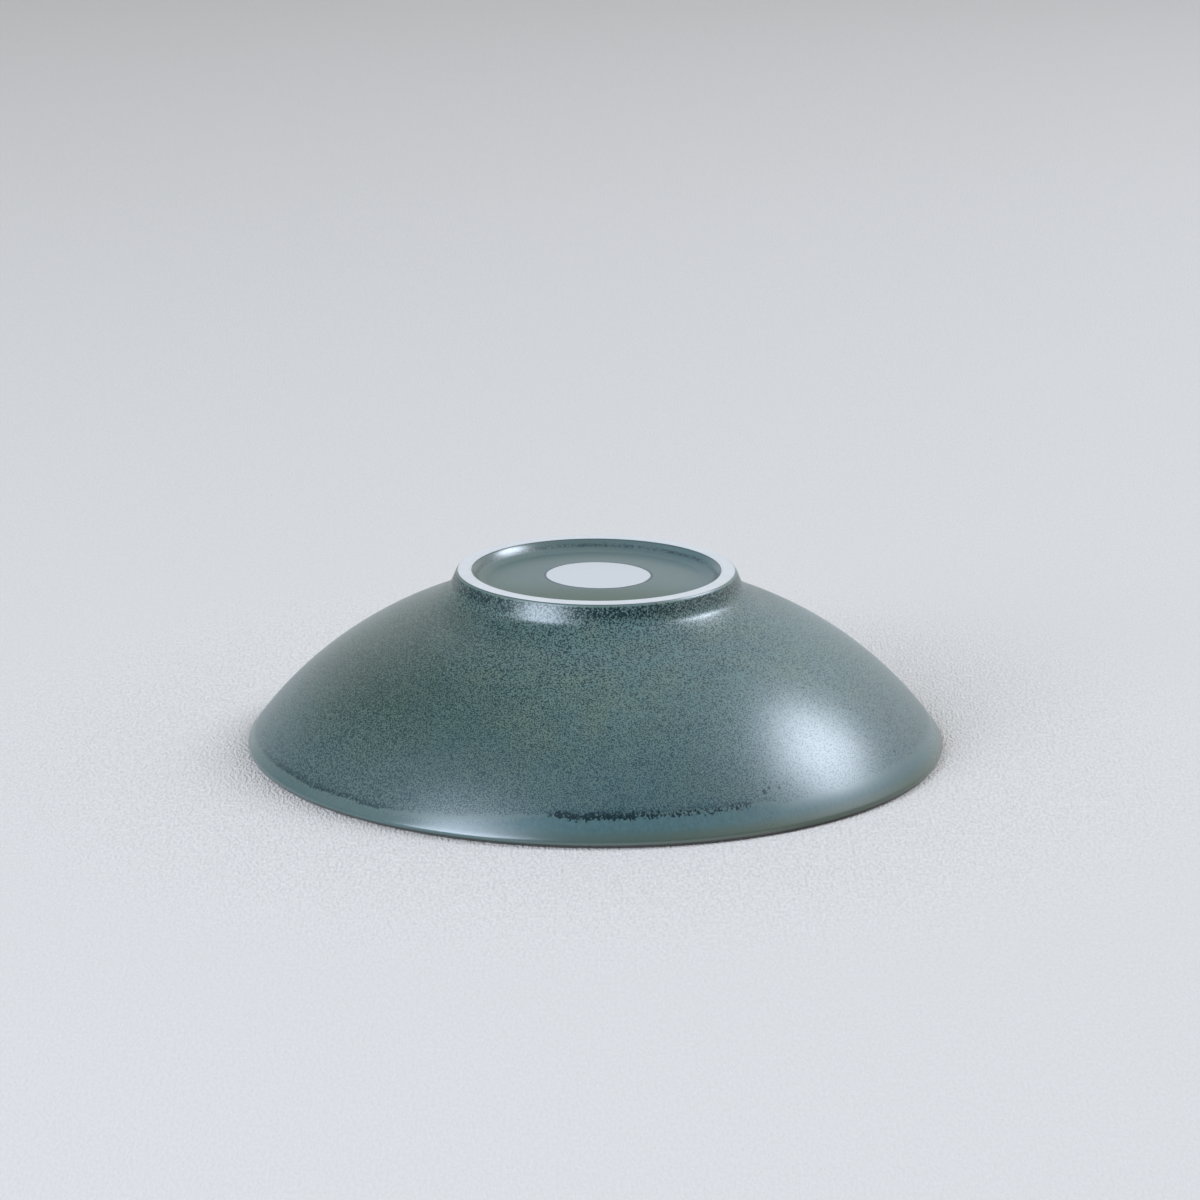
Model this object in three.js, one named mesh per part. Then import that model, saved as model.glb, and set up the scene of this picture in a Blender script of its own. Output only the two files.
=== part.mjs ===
import * as THREE from 'three';

// A glazed porcelain soup plate that lies upside down, rim on the table and foot ring up.
// Millimetres, +Z up. The origin is the centre of the circle on which the rim rests.
// Sizes are taken over the glaze, except those of the foot ring's bare porcelain face.

// Driving dimensions of the bowl
const RIM_DIAMETER = 200;
const BOWL_DEPTH = 43.3;
const FLOOR_FLAT_RADIUS = 12;
const WALL_THICKNESS = 4.2;
const LIP_THICKNESS = 3;
const BASE_THICKNESS = 6.1;

// Driving dimensions of the foot ring and of the well inside it
const FOOT_RADIUS = 39.5;
const FOOT_FACE_WIDTH = 3.2;
const FOOT_EDGE_RADIUS = 0.4;
const FOOT_OUTER_DRAFT = THREE.MathUtils.degToRad(23);
const FOOT_INNER_DRAFT = THREE.MathUtils.degToRad(42);
const FOOT_FILLET_RADIUS = 4.5;
const FOOT_SWEEP_RADIUS = 36;
const FOOT_SWEEP_TILT = THREE.MathUtils.degToRad(38);
const WELL_FILLET_RADIUS = 4;
const WELL_DEPTH = 1.9;
const WELL_CROWN = 1.9;

// Driving dimensions of the coats and of the white disc on the base
const GLAZE_THICKNESS = 0.4;
const RIM_BAND_OUTER_WIDTH = 7.2;
const RIM_BAND_INNER_WIDTH = 4;
const BASE_DISC_RADIUS = 15.5;

// How finely the round forms are divided
const FACETS_AROUND = 60;
const FLOOR_STEPS = 10;
const WALL_STEPS = 8;
const BAND_STEPS = 2;
const LIP_STEPS = 2;
const WELL_STEPS = 3;
const FILLET_STEPS = 3;
const EDGE_STEPS = 2;

// Colours and sheen of the finishes
const FINISHES = {
  porcelain: { color: 0xe6eaec, roughness: 0.55 },
  speckledGlaze: { color: 0x536b6c, roughness: 0.36 },
  rimGlaze: { color: 0x5b7472, roughness: 0.28 },
  faceGlaze: { color: 0x5a7473, roughness: 0.32 },
  wellGlaze: { color: 0x62757a, roughness: 0.36 },
  discWhite: { color: 0xe3e8ec, roughness: 0.4 },
};

// In the profile plane x is the distance from the plate's axis and y is the height.
// A tilt is an angle from straight up towards the outside.
const STRAIGHT_OUT = Math.PI / 2;
const STRAIGHT_DOWN = Math.PI;
const point = (radius, height) => new THREE.Vector2(radius, height);
const tiltOf = (vector) => Math.atan2(vector.x, vector.y);

/** The point of a circle at a tilt, at a depth under the circle's own line. */
function onCircle(circle, tilt, depth = 0) {
  const radius = circle.radius - circle.side * depth;
  const { x, y } = circle.centre;
  return point(x + radius * Math.sin(tilt), y + radius * Math.cos(tilt));
}

/** Evenly spaced points along a circle between two tilts, both ends included. */
function arc(circle, from, to, steps, depth = 0) {
  const tilts = Array.from({ length: steps + 1 }, (_, i) => from + ((to - from) * i) / steps);
  return tilts.map((tilt) => onCircle(circle, tilt, depth));
}

/** Where a straight line first meets a circle, at a depth under the circle's own line. */
function meet(start, direction, circle, depth = 0) {
  const radius = circle.radius - circle.side * depth;
  const offset = start.clone().sub(circle.centre);
  const along = offset.dot(direction);
  const reach = Math.sqrt(along ** 2 - offset.lengthSq() + radius ** 2);
  return start.clone().addScaledVector(direction, -along - reach);
}

// Bowl: the wall's two arcs share the axis of the flat floor, and a full round joins them at the lip
const lipRadius = LIP_THICKNESS / 2;
const lipCentre = point(RIM_DIAMETER / 2 - lipRadius, lipRadius);
const lip = { centre: lipCentre, radius: lipRadius, side: 1 };

/** The arc that starts level over the edge of the flat floor and runs tangent into the lip. */
function wallArc(crestHeight, side) {
  const across = lipCentre.x - FLOOR_FLAT_RADIUS;
  const above = crestHeight - lipCentre.y;
  const radius = (across ** 2 + above ** 2 - lipRadius ** 2) / (2 * (above - side * lipRadius));
  return { centre: point(FLOOR_FLAT_RADIUS, crestHeight - radius), radius, side };
}

const face = wallArc(BOWL_DEPTH, -1);
const back = wallArc(BOWL_DEPTH + WALL_THICKNESS, 1);
const faceLipTilt = tiltOf(lipCentre.clone().sub(face.centre));
const backLipTilt = tiltOf(lipCentre.clone().sub(back.centre));
const faceBandTilt = faceLipTilt - RIM_BAND_INNER_WIDTH / face.radius;
const backBandTilt = backLipTilt - RIM_BAND_OUTER_WIDTH / back.radius;

// Foot ring: a bare face with eased edges, and flanks that spread towards the wall and narrow into the well
const wellHeight = BOWL_DEPTH + BASE_THICKNESS;
const footHeight = wellHeight + WELL_DEPTH;
const footInnerRadius = FOOT_RADIUS - FOOT_FACE_WIDTH;

/** One side of the foot ring: the eased edge at its top and the straight flank below it. */
function footSide(topRadius, outwards, draft) {
  const normal = point(outwards * Math.cos(draft), Math.sin(draft));
  const direction = point(outwards * Math.sin(draft), -Math.cos(draft));
  const edgeCentre = point(topRadius - FOOT_EDGE_RADIUS * normal.x, footHeight - FOOT_EDGE_RADIUS);
  const edge = { centre: edgeCentre, radius: FOOT_EDGE_RADIUS, side: 1 };
  const top = onCircle(edge, tiltOf(normal));
  const glazeTop = top.clone().addScaledVector(normal, GLAZE_THICKNESS);
  return { normal, direction, edge, top, glazeTop };
}

const footOuter = footSide(FOOT_RADIUS, 1, FOOT_OUTER_DRAFT);
const footInner = footSide(footInnerRadius, -1, FOOT_INNER_DRAFT);

// Well: a shallow crown inside the foot ring, with the disc in its middle
const wellRadius = (footInnerRadius ** 2 + WELL_CROWN ** 2) / (2 * WELL_CROWN);
const well = { centre: point(0, wellHeight - wellRadius), radius: wellRadius, side: 1 };
const discTilt = Math.asin(BASE_DISC_RADIUS / wellRadius);

/**
 * The hollow between a flank of the foot ring and the floor below it. A tight round under the flank
 * opens, where the surface has the turning tilt, into a wide round that runs out on the floor.
 */
function hollow(side, floor, tightRadius, wideRadius = tightRadius, turnTilt = tiltOf(side.normal)) {
  const turn = point(Math.sin(turnTilt), Math.cos(turnTilt));
  const apart = wideRadius - tightRadius;
  const start = side.glazeTop.clone().addScaledVector(side.normal, tightRadius).addScaledVector(turn, apart);
  const grown = { ...floor, radius: floor.radius + wideRadius };
  const wide = { centre: meet(start, side.direction, grown), radius: wideRadius, side: -1 };
  const tight = { centre: wide.centre.clone().addScaledVector(turn, -apart), radius: tightRadius, side: -1 };
  const endTilt = tiltOf(wide.centre.clone().sub(floor.centre));
  return { tight, wide, startTilt: tiltOf(side.normal), turnTilt, endTilt };
}

const footHollow = hollow(footOuter, back, FOOT_FILLET_RADIUS, FOOT_SWEEP_RADIUS, FOOT_SWEEP_TILT);
const wellHollow = hollow(footInner, well, WELL_FILLET_RADIUS);

// Seat of the foot ring on the body
const seatOuter = onCircle(footHollow.tight, footHollow.startTilt + Math.PI, GLAZE_THICKNESS);
const seatInner = meet(footInner.top, footInner.direction, well, GLAZE_THICKNESS);
const seatInnerTilt = tiltOf(seatInner.clone().sub(well.centre));

/** A hollow's points from the flank out to the floor, at a depth under the glaze. */
function hollowStretch({ tight, wide, startTilt, turnTilt, endTilt }, depth) {
  return [
    ...arc(tight, startTilt + Math.PI, turnTilt + Math.PI, FILLET_STEPS, depth),
    ...arc(wide, turnTilt + Math.PI, endTilt + Math.PI, FILLET_STEPS, depth),
  ];
}

// Stretches of the profile at a depth under the glaze, from the middle of the floor round the lip to the base
const floorStretch = (depth) => [
  point(0, onCircle(face, 0, depth).y),
  ...arc(face, 0, faceBandTilt, FLOOR_STEPS, depth),
];
const lipStretch = (depth) => [
  ...arc(face, faceBandTilt, faceLipTilt, BAND_STEPS, depth),
  ...arc(lip, faceLipTilt + Math.PI, STRAIGHT_DOWN, LIP_STEPS, depth),
  ...arc(lip, STRAIGHT_DOWN, STRAIGHT_OUT, LIP_STEPS, depth),
  ...arc(lip, STRAIGHT_OUT, backLipTilt, LIP_STEPS, depth),
  ...arc(back, backLipTilt, backBandTilt, BAND_STEPS, depth),
];
const wallStretch = (depth) => [
  ...arc(back, backBandTilt, footHollow.endTilt, WALL_STEPS, depth),
  ...hollowStretch(footHollow, depth).reverse(),
];
const wellStretch = (depth, edgeTilt) => arc(well, edgeTilt, discTilt, WELL_STEPS, depth);
const discStretch = (depth) => arc(well, discTilt, 0, 1, depth);

/** Joins stretches end to end, with each shared point taken once. */
function join(...stretches) {
  const samePoint = 1e-6;
  return stretches.flat().filter((p, i, all) => i === 0 || p.distanceTo(all[i - 1]) > samePoint);
}

/** A coat's closed outline: out along the glaze's surface and back along the porcelain. */
function coat(glazeLine, porcelainLine) {
  return join(glazeLine, [...porcelainLine].reverse(), [glazeLine[0]]);
}

/** Turns an outline round the plate's axis into a named mesh. */
function turned(name, outline, finish) {
  const geometry = new THREE.LatheGeometry(outline, FACETS_AROUND);
  geometry.rotateX(Math.PI / 2);
  const material = new THREE.MeshStandardMaterial({ ...finish, metalness: 0 });
  const mesh = new THREE.Mesh(geometry, material);
  mesh.name = name;
  return mesh;
}

/** White porcelain body: floor, lip, wall, the foot ring's seat and the base. */
function bowlShell() {
  const outline = join(
    floorStretch(GLAZE_THICKNESS),
    lipStretch(GLAZE_THICKNESS),
    wallStretch(GLAZE_THICKNESS),
    wellStretch(GLAZE_THICKNESS, seatInnerTilt),
    discStretch(GLAZE_THICKNESS),
  );
  return turned('bowl_shell', outline, FINISHES.porcelain);
}

/** Porcelain ring with the bare face on which the plate stands in use. */
function footRing() {
  const outline = join(
    [seatInner, seatOuter],
    arc(footOuter.edge, tiltOf(footOuter.normal), 0, EDGE_STEPS),
    arc(footInner.edge, 0, tiltOf(footInner.normal), EDGE_STEPS),
    [seatInner],
  );
  return turned('foot_ring', outline, FINISHES.porcelain);
}

/** Glaze inside the bowl. */
function faceGlaze() {
  const outline = join(floorStretch(0), [...floorStretch(GLAZE_THICKNESS)].reverse());
  return turned('face_glaze', outline, FINISHES.faceGlaze);
}

/** Smooth glaze band that wraps the lip. */
function rimGlaze() {
  const outline = coat(lipStretch(0), lipStretch(GLAZE_THICKNESS));
  return turned('rim_glaze', outline, FINISHES.rimGlaze);
}

/** Speckled glaze from the rim band up the wall to the foot ring's bare face. */
function backGlaze() {
  const glazeLine = join(wallStretch(0), [footOuter.glazeTop]);
  const porcelainLine = join(wallStretch(GLAZE_THICKNESS), [footOuter.top]);
  return turned('back_glaze', coat(glazeLine, porcelainLine), FINISHES.speckledGlaze);
}

/** Glaze inside the foot ring, with a round window for the disc. */
function wellGlaze() {
  const glazeLine = join(
    [footInner.glazeTop],
    hollowStretch(wellHollow, 0),
    wellStretch(0, wellHollow.endTilt),
  );
  const porcelainLine = join([footInner.top], wellStretch(GLAZE_THICKNESS, seatInnerTilt));
  return turned('well_glaze', coat(glazeLine, porcelainLine), FINISHES.wellGlaze);
}

/** Plain white disc in the window of the well's glaze. */
function baseDisc() {
  const outline = join([...discStretch(GLAZE_THICKNESS)].reverse(), discStretch(0));
  return turned('base_disc', outline, FINISHES.discWhite);
}

const plate = new THREE.Group();
plate.name = 'soup_plate';
plate.add(bowlShell(), footRing(), faceGlaze(), rimGlaze(), backGlaze(), wellGlaze(), baseDisc());

export default plate;
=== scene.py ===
"""A glazed porcelain soup plate that lies upside down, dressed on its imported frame.

Every piece of the plate is turned round one axis, so each is a profile line that a Geometry Nodes
tree turns into a closed mesh. The glazes take their patterns from object space, so coats that meet
edge to edge carry on each other's flecks. Metres, +Z up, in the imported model's own frame.
"""

import logging
import math
from collections.abc import Callable
from dataclasses import dataclass, field
from enum import Enum
from functools import cached_property, partial, reduce, wraps

import bpy
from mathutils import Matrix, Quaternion, Vector


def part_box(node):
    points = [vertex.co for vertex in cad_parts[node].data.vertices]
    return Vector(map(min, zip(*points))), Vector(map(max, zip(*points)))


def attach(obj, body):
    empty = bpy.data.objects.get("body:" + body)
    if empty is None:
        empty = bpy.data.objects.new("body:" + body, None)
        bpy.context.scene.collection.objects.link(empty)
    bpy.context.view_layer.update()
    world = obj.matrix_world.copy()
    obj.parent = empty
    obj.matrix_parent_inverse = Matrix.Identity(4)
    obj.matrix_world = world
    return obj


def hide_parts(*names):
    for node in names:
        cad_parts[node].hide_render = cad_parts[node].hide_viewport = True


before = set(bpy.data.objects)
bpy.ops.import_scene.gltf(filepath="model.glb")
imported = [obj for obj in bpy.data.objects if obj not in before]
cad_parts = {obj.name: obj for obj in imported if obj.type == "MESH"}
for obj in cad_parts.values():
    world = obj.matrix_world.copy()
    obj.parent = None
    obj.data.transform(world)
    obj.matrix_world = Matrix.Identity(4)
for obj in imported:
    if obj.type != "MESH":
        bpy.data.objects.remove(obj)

log = logging.getLogger("soup_plate")

MM = 0.001
BODY = "root"

# The value that every noise varies round
NOISE_MIDDLE = 0.5

# The fewest steps along a stretch of a profile
LEAST_STEPS = 2

Triple = tuple[float, float, float]
Colour = tuple[float, float, float, float]
Socket = bpy.types.NodeSocket
Feed = Socket | float | int | str | tuple | Vector | None


class Pattern(Enum):
    """The noise patterns on the plate and the floor; each has its own place in the noise's fourth axis."""

    FLECKS = 1.0
    DRIFT = 2.0
    MOTTLE = 3.0
    RIPPLE = 4.0
    CLUMPS = 5.0
    GRAIN = 6.0
    BROAD_FLECKS = 7.0
    LINE_WANDER = 11.0
    LINE_DRIPS = 12.0
    BAND_STREAKS = 13.0
    LINE_PATCHES = 14.0
    FOOT_FLECKS = 15.0
    WELL_FLECKS = 16.0
    WELL_PATCHES = 17.0
    RIM_FLECKS = 18.0
    BAND_MIST = 19.0
    PORCELAIN_CLOUDS = 21.0
    PORCELAIN_GRAIN = 22.0
    DISC_CLOUDS = 31.0
    PEBBLES = 41.0


class Wiring:
    """Adds nodes to one tree, and sets or links their sockets in the same call."""

    # Places of the colour sockets of a Mix node
    MIX_FIRST = 6
    MIX_SECOND = 7
    MIX_RESULT = 2

    def __init__(self, tree: bpy.types.NodeTree) -> None:
        """Starts wiring.

        Args:
            tree: The node tree that gets the nodes.
        """
        self.tree = tree

    def add(self, kind: str, inputs: dict | None = None, **settings: object) -> bpy.types.Node:
        """Adds one node.

        Args:
            kind: Blender's name for the node's type.
            inputs: Values or sockets for its inputs, by input name or place.
            settings: The node's own properties.

        Returns:
            The new node.
        """
        node = self.tree.nodes.new(kind)
        for name, value in settings.items():
            setattr(node, name, value)
        for name, value in (inputs or {}).items():
            self.feed(node.inputs[name], value)
        return node

    def feed(self, socket: Socket, value: Feed) -> None:
        """Links a socket to another one, or sets its number.

        Args:
            socket: The input socket.
            value: What it gets.
        """
        if isinstance(value, Socket):
            self.tree.links.new(value, socket)
        elif value is not None:
            socket.default_value = value

    def math(self, operation: str, *values: Feed) -> Socket:
        """Works out a number from others.

        Args:
            operation: The Math node's operation.
            values: Its inputs in order.

        Returns:
            The result's socket.
        """
        return self.add("ShaderNodeMath", dict(enumerate(values)), operation=operation).outputs[0]

    def product(self, *values: Feed) -> Socket:
        """The product of two or more numbers."""
        return reduce(partial(self.math, "MULTIPLY"), values)

    def most(self, *values: Feed) -> Socket:
        """The largest of two or more numbers."""
        return reduce(partial(self.math, "MAXIMUM"), values)

    def rest(self, share: Feed) -> Socket:
        """What a share leaves of one."""
        return self.math("SUBTRACT", 1.0, share)

    def between(self, share: Feed, first: Feed, second: Feed) -> Socket:
        """A number between two others: the first at a share of nil, the second at a share of one."""
        return self.math("MULTIPLY_ADD", self.math("SUBTRACT", second, first), share, first)

    def spread(self, noise: Socket, middle: float, width: float) -> Socket:
        """A number that follows a noise over a width round its own middle."""
        return self.math("MULTIPLY_ADD", noise, width, middle - NOISE_MIDDLE * width)

    def vector(self, operation: str, inputs: dict) -> bpy.types.Node:
        """Works out a vector from others.

        Args:
            operation: The Vector Math node's operation.
            inputs: Its inputs by place or name.

        Returns:
            The node.
        """
        return self.add("ShaderNodeVectorMath", inputs, operation=operation)

    def length(self, vector: Feed) -> Socket:
        """The length of a vector."""
        return self.vector("LENGTH", {0: vector}).outputs["Value"]

    def rise(self, value: Feed, low: Feed, high: Feed, top: float = 1.0) -> Socket:
        """A smooth step from 0 to its top, or back down where low is above high.

        Args:
            value: The number that is looked up.
            low: Where the step starts.
            high: Where it ends.
            top: Height of the step.

        Returns:
            The step's socket.
        """
        inputs = {"Value": value, "From Min": low, "From Max": high, "To Max": top}
        return self.add("ShaderNodeMapRange", inputs, interpolation_type="SMOOTHSTEP").outputs[0]

    def below(self, value: Feed, level: Feed, edge: float, top: float = 1.0) -> Socket:
        """A soft test that a number is below a level.

        Args:
            value: The number that is looked up.
            level: The level.
            edge: How far to either side of the level the change reaches.
            top: The result well below the level; well above it, the result is nil.

        Returns:
            The test's socket.
        """
        low = self.math("SUBTRACT", level, edge)
        high = self.math("ADD", level, edge)
        return self.rise(value, high, low, top)

    def mix(self, share: Feed, first: Feed, second: Feed, blend: str = "MIX") -> Socket:
        """A blend of two colours.

        Args:
            share: How much of the second colour shows.
            first: The first colour.
            second: The second colour.
            blend: The Mix node's blend type.

        Returns:
            The blended colour's socket.
        """
        inputs = {0: share, self.MIX_FIRST: first, self.MIX_SECOND: second}
        node = self.add("ShaderNodeMix", inputs, data_type="RGBA", blend_type=blend)
        return node.outputs[self.MIX_RESULT]

    def noise(self, place: Feed, cell: float, pattern: Pattern, detail: float = 2.0) -> Socket:
        """Smooth noise.

        Args:
            place: Where it is looked up.
            cell: Size of its cells in metres.
            pattern: Which of the patterns it is.
            detail: How many finer layers are added.

        Returns:
            The noise's socket.
        """
        inputs = {"Vector": place, "W": pattern.value, "Scale": 1.0 / cell, "Detail": detail}
        return self.add("ShaderNodeTexNoise", inputs, noise_dimensions="4D").outputs[0]


# Profile of the plate


class Facing(Enum):
    """The side of a circle's line on which the glaze's surface faces the air."""

    OUT = 1
    IN = -1


def tilted(tilt: float) -> Vector:
    """The unit direction at a tilt, an angle from straight up towards the outside."""
    return Vector((math.sin(tilt), math.cos(tilt)))


def tilt_of(way: Vector) -> float:
    """The tilt of a direction in the profile plane."""
    return math.atan2(way.x, way.y)


@dataclass(frozen=True)
class ProfilePoint:
    """A point of a profile line: distance from the axis, height, and the way its surface faces.

    The facing is nil where a piece touches another, so that its ripple leaves the seat alone.
    """

    place: Vector
    facing: Vector = field(default_factory=lambda: Vector((0.0, 0.0)))


Line = list[ProfilePoint]


@dataclass(frozen=True)
class Round:
    """A circle in the profile plane."""

    centre: Vector
    radius: float
    facing: Facing = Facing.OUT

    def at(self, tilt: float, depth: float = 0.0) -> ProfilePoint:
        """The circle's point at a tilt.

        Args:
            tilt: The angle from straight up towards the outside.
            depth: How far under the surface it lies; only a surface point has a facing.

        Returns:
            The point.
        """
        way = tilted(tilt)
        side = self.facing.value
        place = self.centre + way * (self.radius - side * depth)
        return ProfilePoint(place) if depth else ProfilePoint(place, way * side)

    def sweep(self, start: float, end: float, spacing: float, depth: float = 0.0) -> Line:
        """Evenly spaced points along the circle.

        Args:
            start: Tilt of the first point.
            end: Tilt of the last point.
            spacing: About how far apart they lie.
            depth: How far under the surface they lie.

        Returns:
            The points, both ends included.
        """
        steps = max(LEAST_STEPS, math.ceil(abs(end - start) * self.radius / spacing))
        return [self.at(start + (end - start) * i / steps, depth) for i in range(steps + 1)]

    def met_by(self, start: Vector, way: Vector, depth: float = 0.0) -> Vector:
        """Where a straight line first meets the circle.

        Args:
            start: A point of the line.
            way: The line's unit direction.
            depth: How far under the surface the circle is met.

        Returns:
            The meeting point.
        """
        radius = self.radius - self.facing.value * depth
        offset = start - self.centre
        along = offset.dot(way)
        reach = math.sqrt(along**2 - offset.length_squared + radius**2)
        return start - way * (along + reach)


@dataclass(frozen=True)
class FootSide:
    """One flank of the foot ring, from its eased edge down."""

    edge: Round
    normal: Vector
    way_down: Vector

    @property
    def top(self) -> Vector:
        """The end of the eased edge, where the glaze stops."""
        return self.edge.at(tilt_of(self.normal)).place


@dataclass(frozen=True)
class Hollow:
    """The hollow under a flank: a tight round that opens at some tilt into a wide one."""

    tight: Round
    wide: Round
    start_tilt: float
    turn_tilt: float
    end_tilt: float

    def line(self, spacing: float, depth: float = 0.0) -> Line:
        """The hollow's points from the flank out to the floor.

        Args:
            spacing: About how far apart they lie.
            depth: How far under the surface they lie.

        Returns:
            The points, both ends included.
        """
        below = [tilt + math.pi for tilt in (self.start_tilt, self.turn_tilt, self.end_tilt)]
        line = self.wide.sweep(below[1], below[2], spacing, depth)
        if self.turn_tilt == self.start_tilt:
            return line
        return self.tight.sweep(below[0], below[1], spacing, depth) + line[1:]


@dataclass(frozen=True)
class PlateProfile:
    """The plate's section through its axis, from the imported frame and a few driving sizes."""

    wall_thickness: float = 4.2 * MM
    lip_thickness: float = 3.0 * MM
    floor_flat_radius: float = 12.0 * MM
    foot_radius: float = 39.5 * MM
    foot_edge_radius: float = 0.4 * MM
    foot_outer_draft: float = math.radians(23)
    foot_inner_draft: float = math.radians(42)
    foot_fillet_radius: float = 4.5 * MM
    foot_sweep_radius: float = 36.0 * MM
    foot_sweep_tilt: float = math.radians(38)
    well_fillet_radius: float = 4.0 * MM
    bead_length: float = 1.2 * MM
    bead_extra_steps: int = 4
    well_crown: float = 1.9 * MM
    band_outer_width: float = 7.2 * MM
    band_inner_width: float = 4.0 * MM
    fine: float = 0.2 * MM
    shown: float = 0.9 * MM
    hidden: float = 5.0 * MM

    @cached_property
    def glaze(self) -> float:
        """Thickness of the glaze, which is all that lies under the porcelain's lip."""
        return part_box("bowl_shell")[0].z

    @cached_property
    def rim_radius(self) -> float:
        """Outer radius of the plate over its glaze."""
        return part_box("rim_glaze")[1].x

    @cached_property
    def bowl_depth(self) -> float:
        """Depth of the bowl over its glaze."""
        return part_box("face_glaze")[1].z - self.glaze

    @cached_property
    def foot_height(self) -> float:
        """Height of the foot ring's bare face above the table."""
        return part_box("foot_ring")[1].z

    @cached_property
    def foot_inner_radius(self) -> float:
        """Inner radius of the foot ring's bare face."""
        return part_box("well_glaze")[1].x

    @cached_property
    def well_height(self) -> float:
        """Height of the middle of the well."""
        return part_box("base_disc")[1].z

    @cached_property
    def disc_radius(self) -> float:
        """Radius of the white disc in the well."""
        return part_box("base_disc")[1].x

    @cached_property
    def lip(self) -> Round:
        """The full round of the lip."""
        radius = self.lip_thickness / 2
        return Round(Vector((self.rim_radius - radius, radius)), radius)

    def _wall(self, crest_height: float, facing: Facing) -> Round:
        """The arc that starts level over the edge of the flat floor and runs tangent into the lip.

        Args:
            crest_height: Height of the arc's level start.
            facing: Which side of the arc is glazed.

        Returns:
            The arc's circle.
        """
        across = self.lip.centre.x - self.floor_flat_radius
        above = crest_height - self.lip.centre.y
        squares = across**2 + above**2 - self.lip.radius**2
        radius = squares / (2 * (above - facing.value * self.lip.radius))
        return Round(Vector((self.floor_flat_radius, crest_height - radius)), radius, facing)

    @cached_property
    def face(self) -> Round:
        """The inside of the bowl."""
        return self._wall(self.bowl_depth, Facing.IN)

    @cached_property
    def back(self) -> Round:
        """The outside of the bowl."""
        return self._wall(self.bowl_depth + self.wall_thickness, Facing.OUT)

    @cached_property
    def well(self) -> Round:
        """The crowned floor of the well."""
        radius = (self.foot_inner_radius**2 + self.well_crown**2) / (2 * self.well_crown)
        return Round(Vector((0.0, self.well_height - radius)), radius)

    @cached_property
    def face_lip_tilt(self) -> float:
        """Tilt at which the inside meets the lip."""
        return tilt_of(self.lip.centre - self.face.centre)

    @cached_property
    def back_lip_tilt(self) -> float:
        """Tilt at which the outside meets the lip."""
        return tilt_of(self.lip.centre - self.back.centre)

    @cached_property
    def face_band_tilt(self) -> float:
        """Tilt at which the rim band ends inside the bowl."""
        return self.face_lip_tilt - self.band_inner_width / self.face.radius

    @cached_property
    def back_band_tilt(self) -> float:
        """Tilt at which the rim band ends on the outside."""
        return self.back_lip_tilt - self.band_outer_width / self.back.radius

    @cached_property
    def disc_tilt(self) -> float:
        """Tilt of the disc's edge on the well."""
        return math.asin(self.disc_radius / self.well.radius)

    def _foot_side(self, top_radius: float, draft: float, facing: Facing) -> FootSide:
        """One flank of the foot ring.

        Args:
            top_radius: Radius of the bare face at this flank.
            draft: How far the flank leans from upright.
            facing: Whether it faces away from the axis or towards it.

        Returns:
            The flank.
        """
        out = facing.value
        normal = Vector((out * math.cos(draft), math.sin(draft)))
        way_down = Vector((out * math.sin(draft), -math.cos(draft)))
        radius = self.foot_edge_radius
        centre = Vector((top_radius - radius * normal.x, self.foot_height - radius))
        return FootSide(Round(centre, radius), normal, way_down)

    @cached_property
    def foot_outer(self) -> FootSide:
        """The foot ring's outer flank."""
        return self._foot_side(self.foot_radius, self.foot_outer_draft, Facing.OUT)

    @cached_property
    def foot_inner(self) -> FootSide:
        """The foot ring's inner flank."""
        return self._foot_side(self.foot_inner_radius, self.foot_inner_draft, Facing.IN)

    def _hollow(
        self, side: FootSide, floor: Round, tight: float, wide: float, turn_tilt: float
    ) -> Hollow:
        """The hollow between a flank of the foot ring and the floor below it.

        Args:
            side: The flank.
            floor: The surface that the hollow runs out on.
            tight: Radius of the round under the flank.
            wide: Radius of the round that meets the floor.
            turn_tilt: Tilt of the surface where the one passes into the other.

        Returns:
            The hollow.
        """
        turn = tilted(turn_tilt)
        start = side.top + side.normal * (self.glaze + tight) + turn * (wide - tight)
        grown = Round(floor.centre, floor.radius + wide)
        centre = grown.met_by(start, side.way_down)
        return Hollow(
            Round(centre - turn * (wide - tight), tight, Facing.IN),
            Round(centre, wide, Facing.IN),
            tilt_of(side.normal),
            turn_tilt,
            tilt_of(centre - floor.centre),
        )

    @cached_property
    def foot_hollow(self) -> Hollow:
        """The hollow round the foot ring."""
        radii = (self.foot_fillet_radius, self.foot_sweep_radius)
        return self._hollow(self.foot_outer, self.back, *radii, self.foot_sweep_tilt)

    @cached_property
    def well_hollow(self) -> Hollow:
        """The hollow inside the foot ring."""
        radius = self.well_fillet_radius
        return self._hollow(self.foot_inner, self.well, radius, radius, tilt_of(self.foot_inner.normal))

    @cached_property
    def seat_outer(self) -> Vector:
        """Outer end of the foot ring's seat on the bowl."""
        return self.foot_hollow.tight.at(self.foot_hollow.start_tilt + math.pi, self.glaze).place

    @cached_property
    def seat_inner(self) -> Vector:
        """Inner end of the foot ring's seat on the bowl."""
        return self.well.met_by(self.foot_inner.top, self.foot_inner.way_down, self.glaze)

    @cached_property
    def seat_inner_tilt(self) -> float:
        """Tilt on the well of the inner end of the foot ring's seat."""
        return tilt_of(self.seat_inner - self.well.centre)

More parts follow.
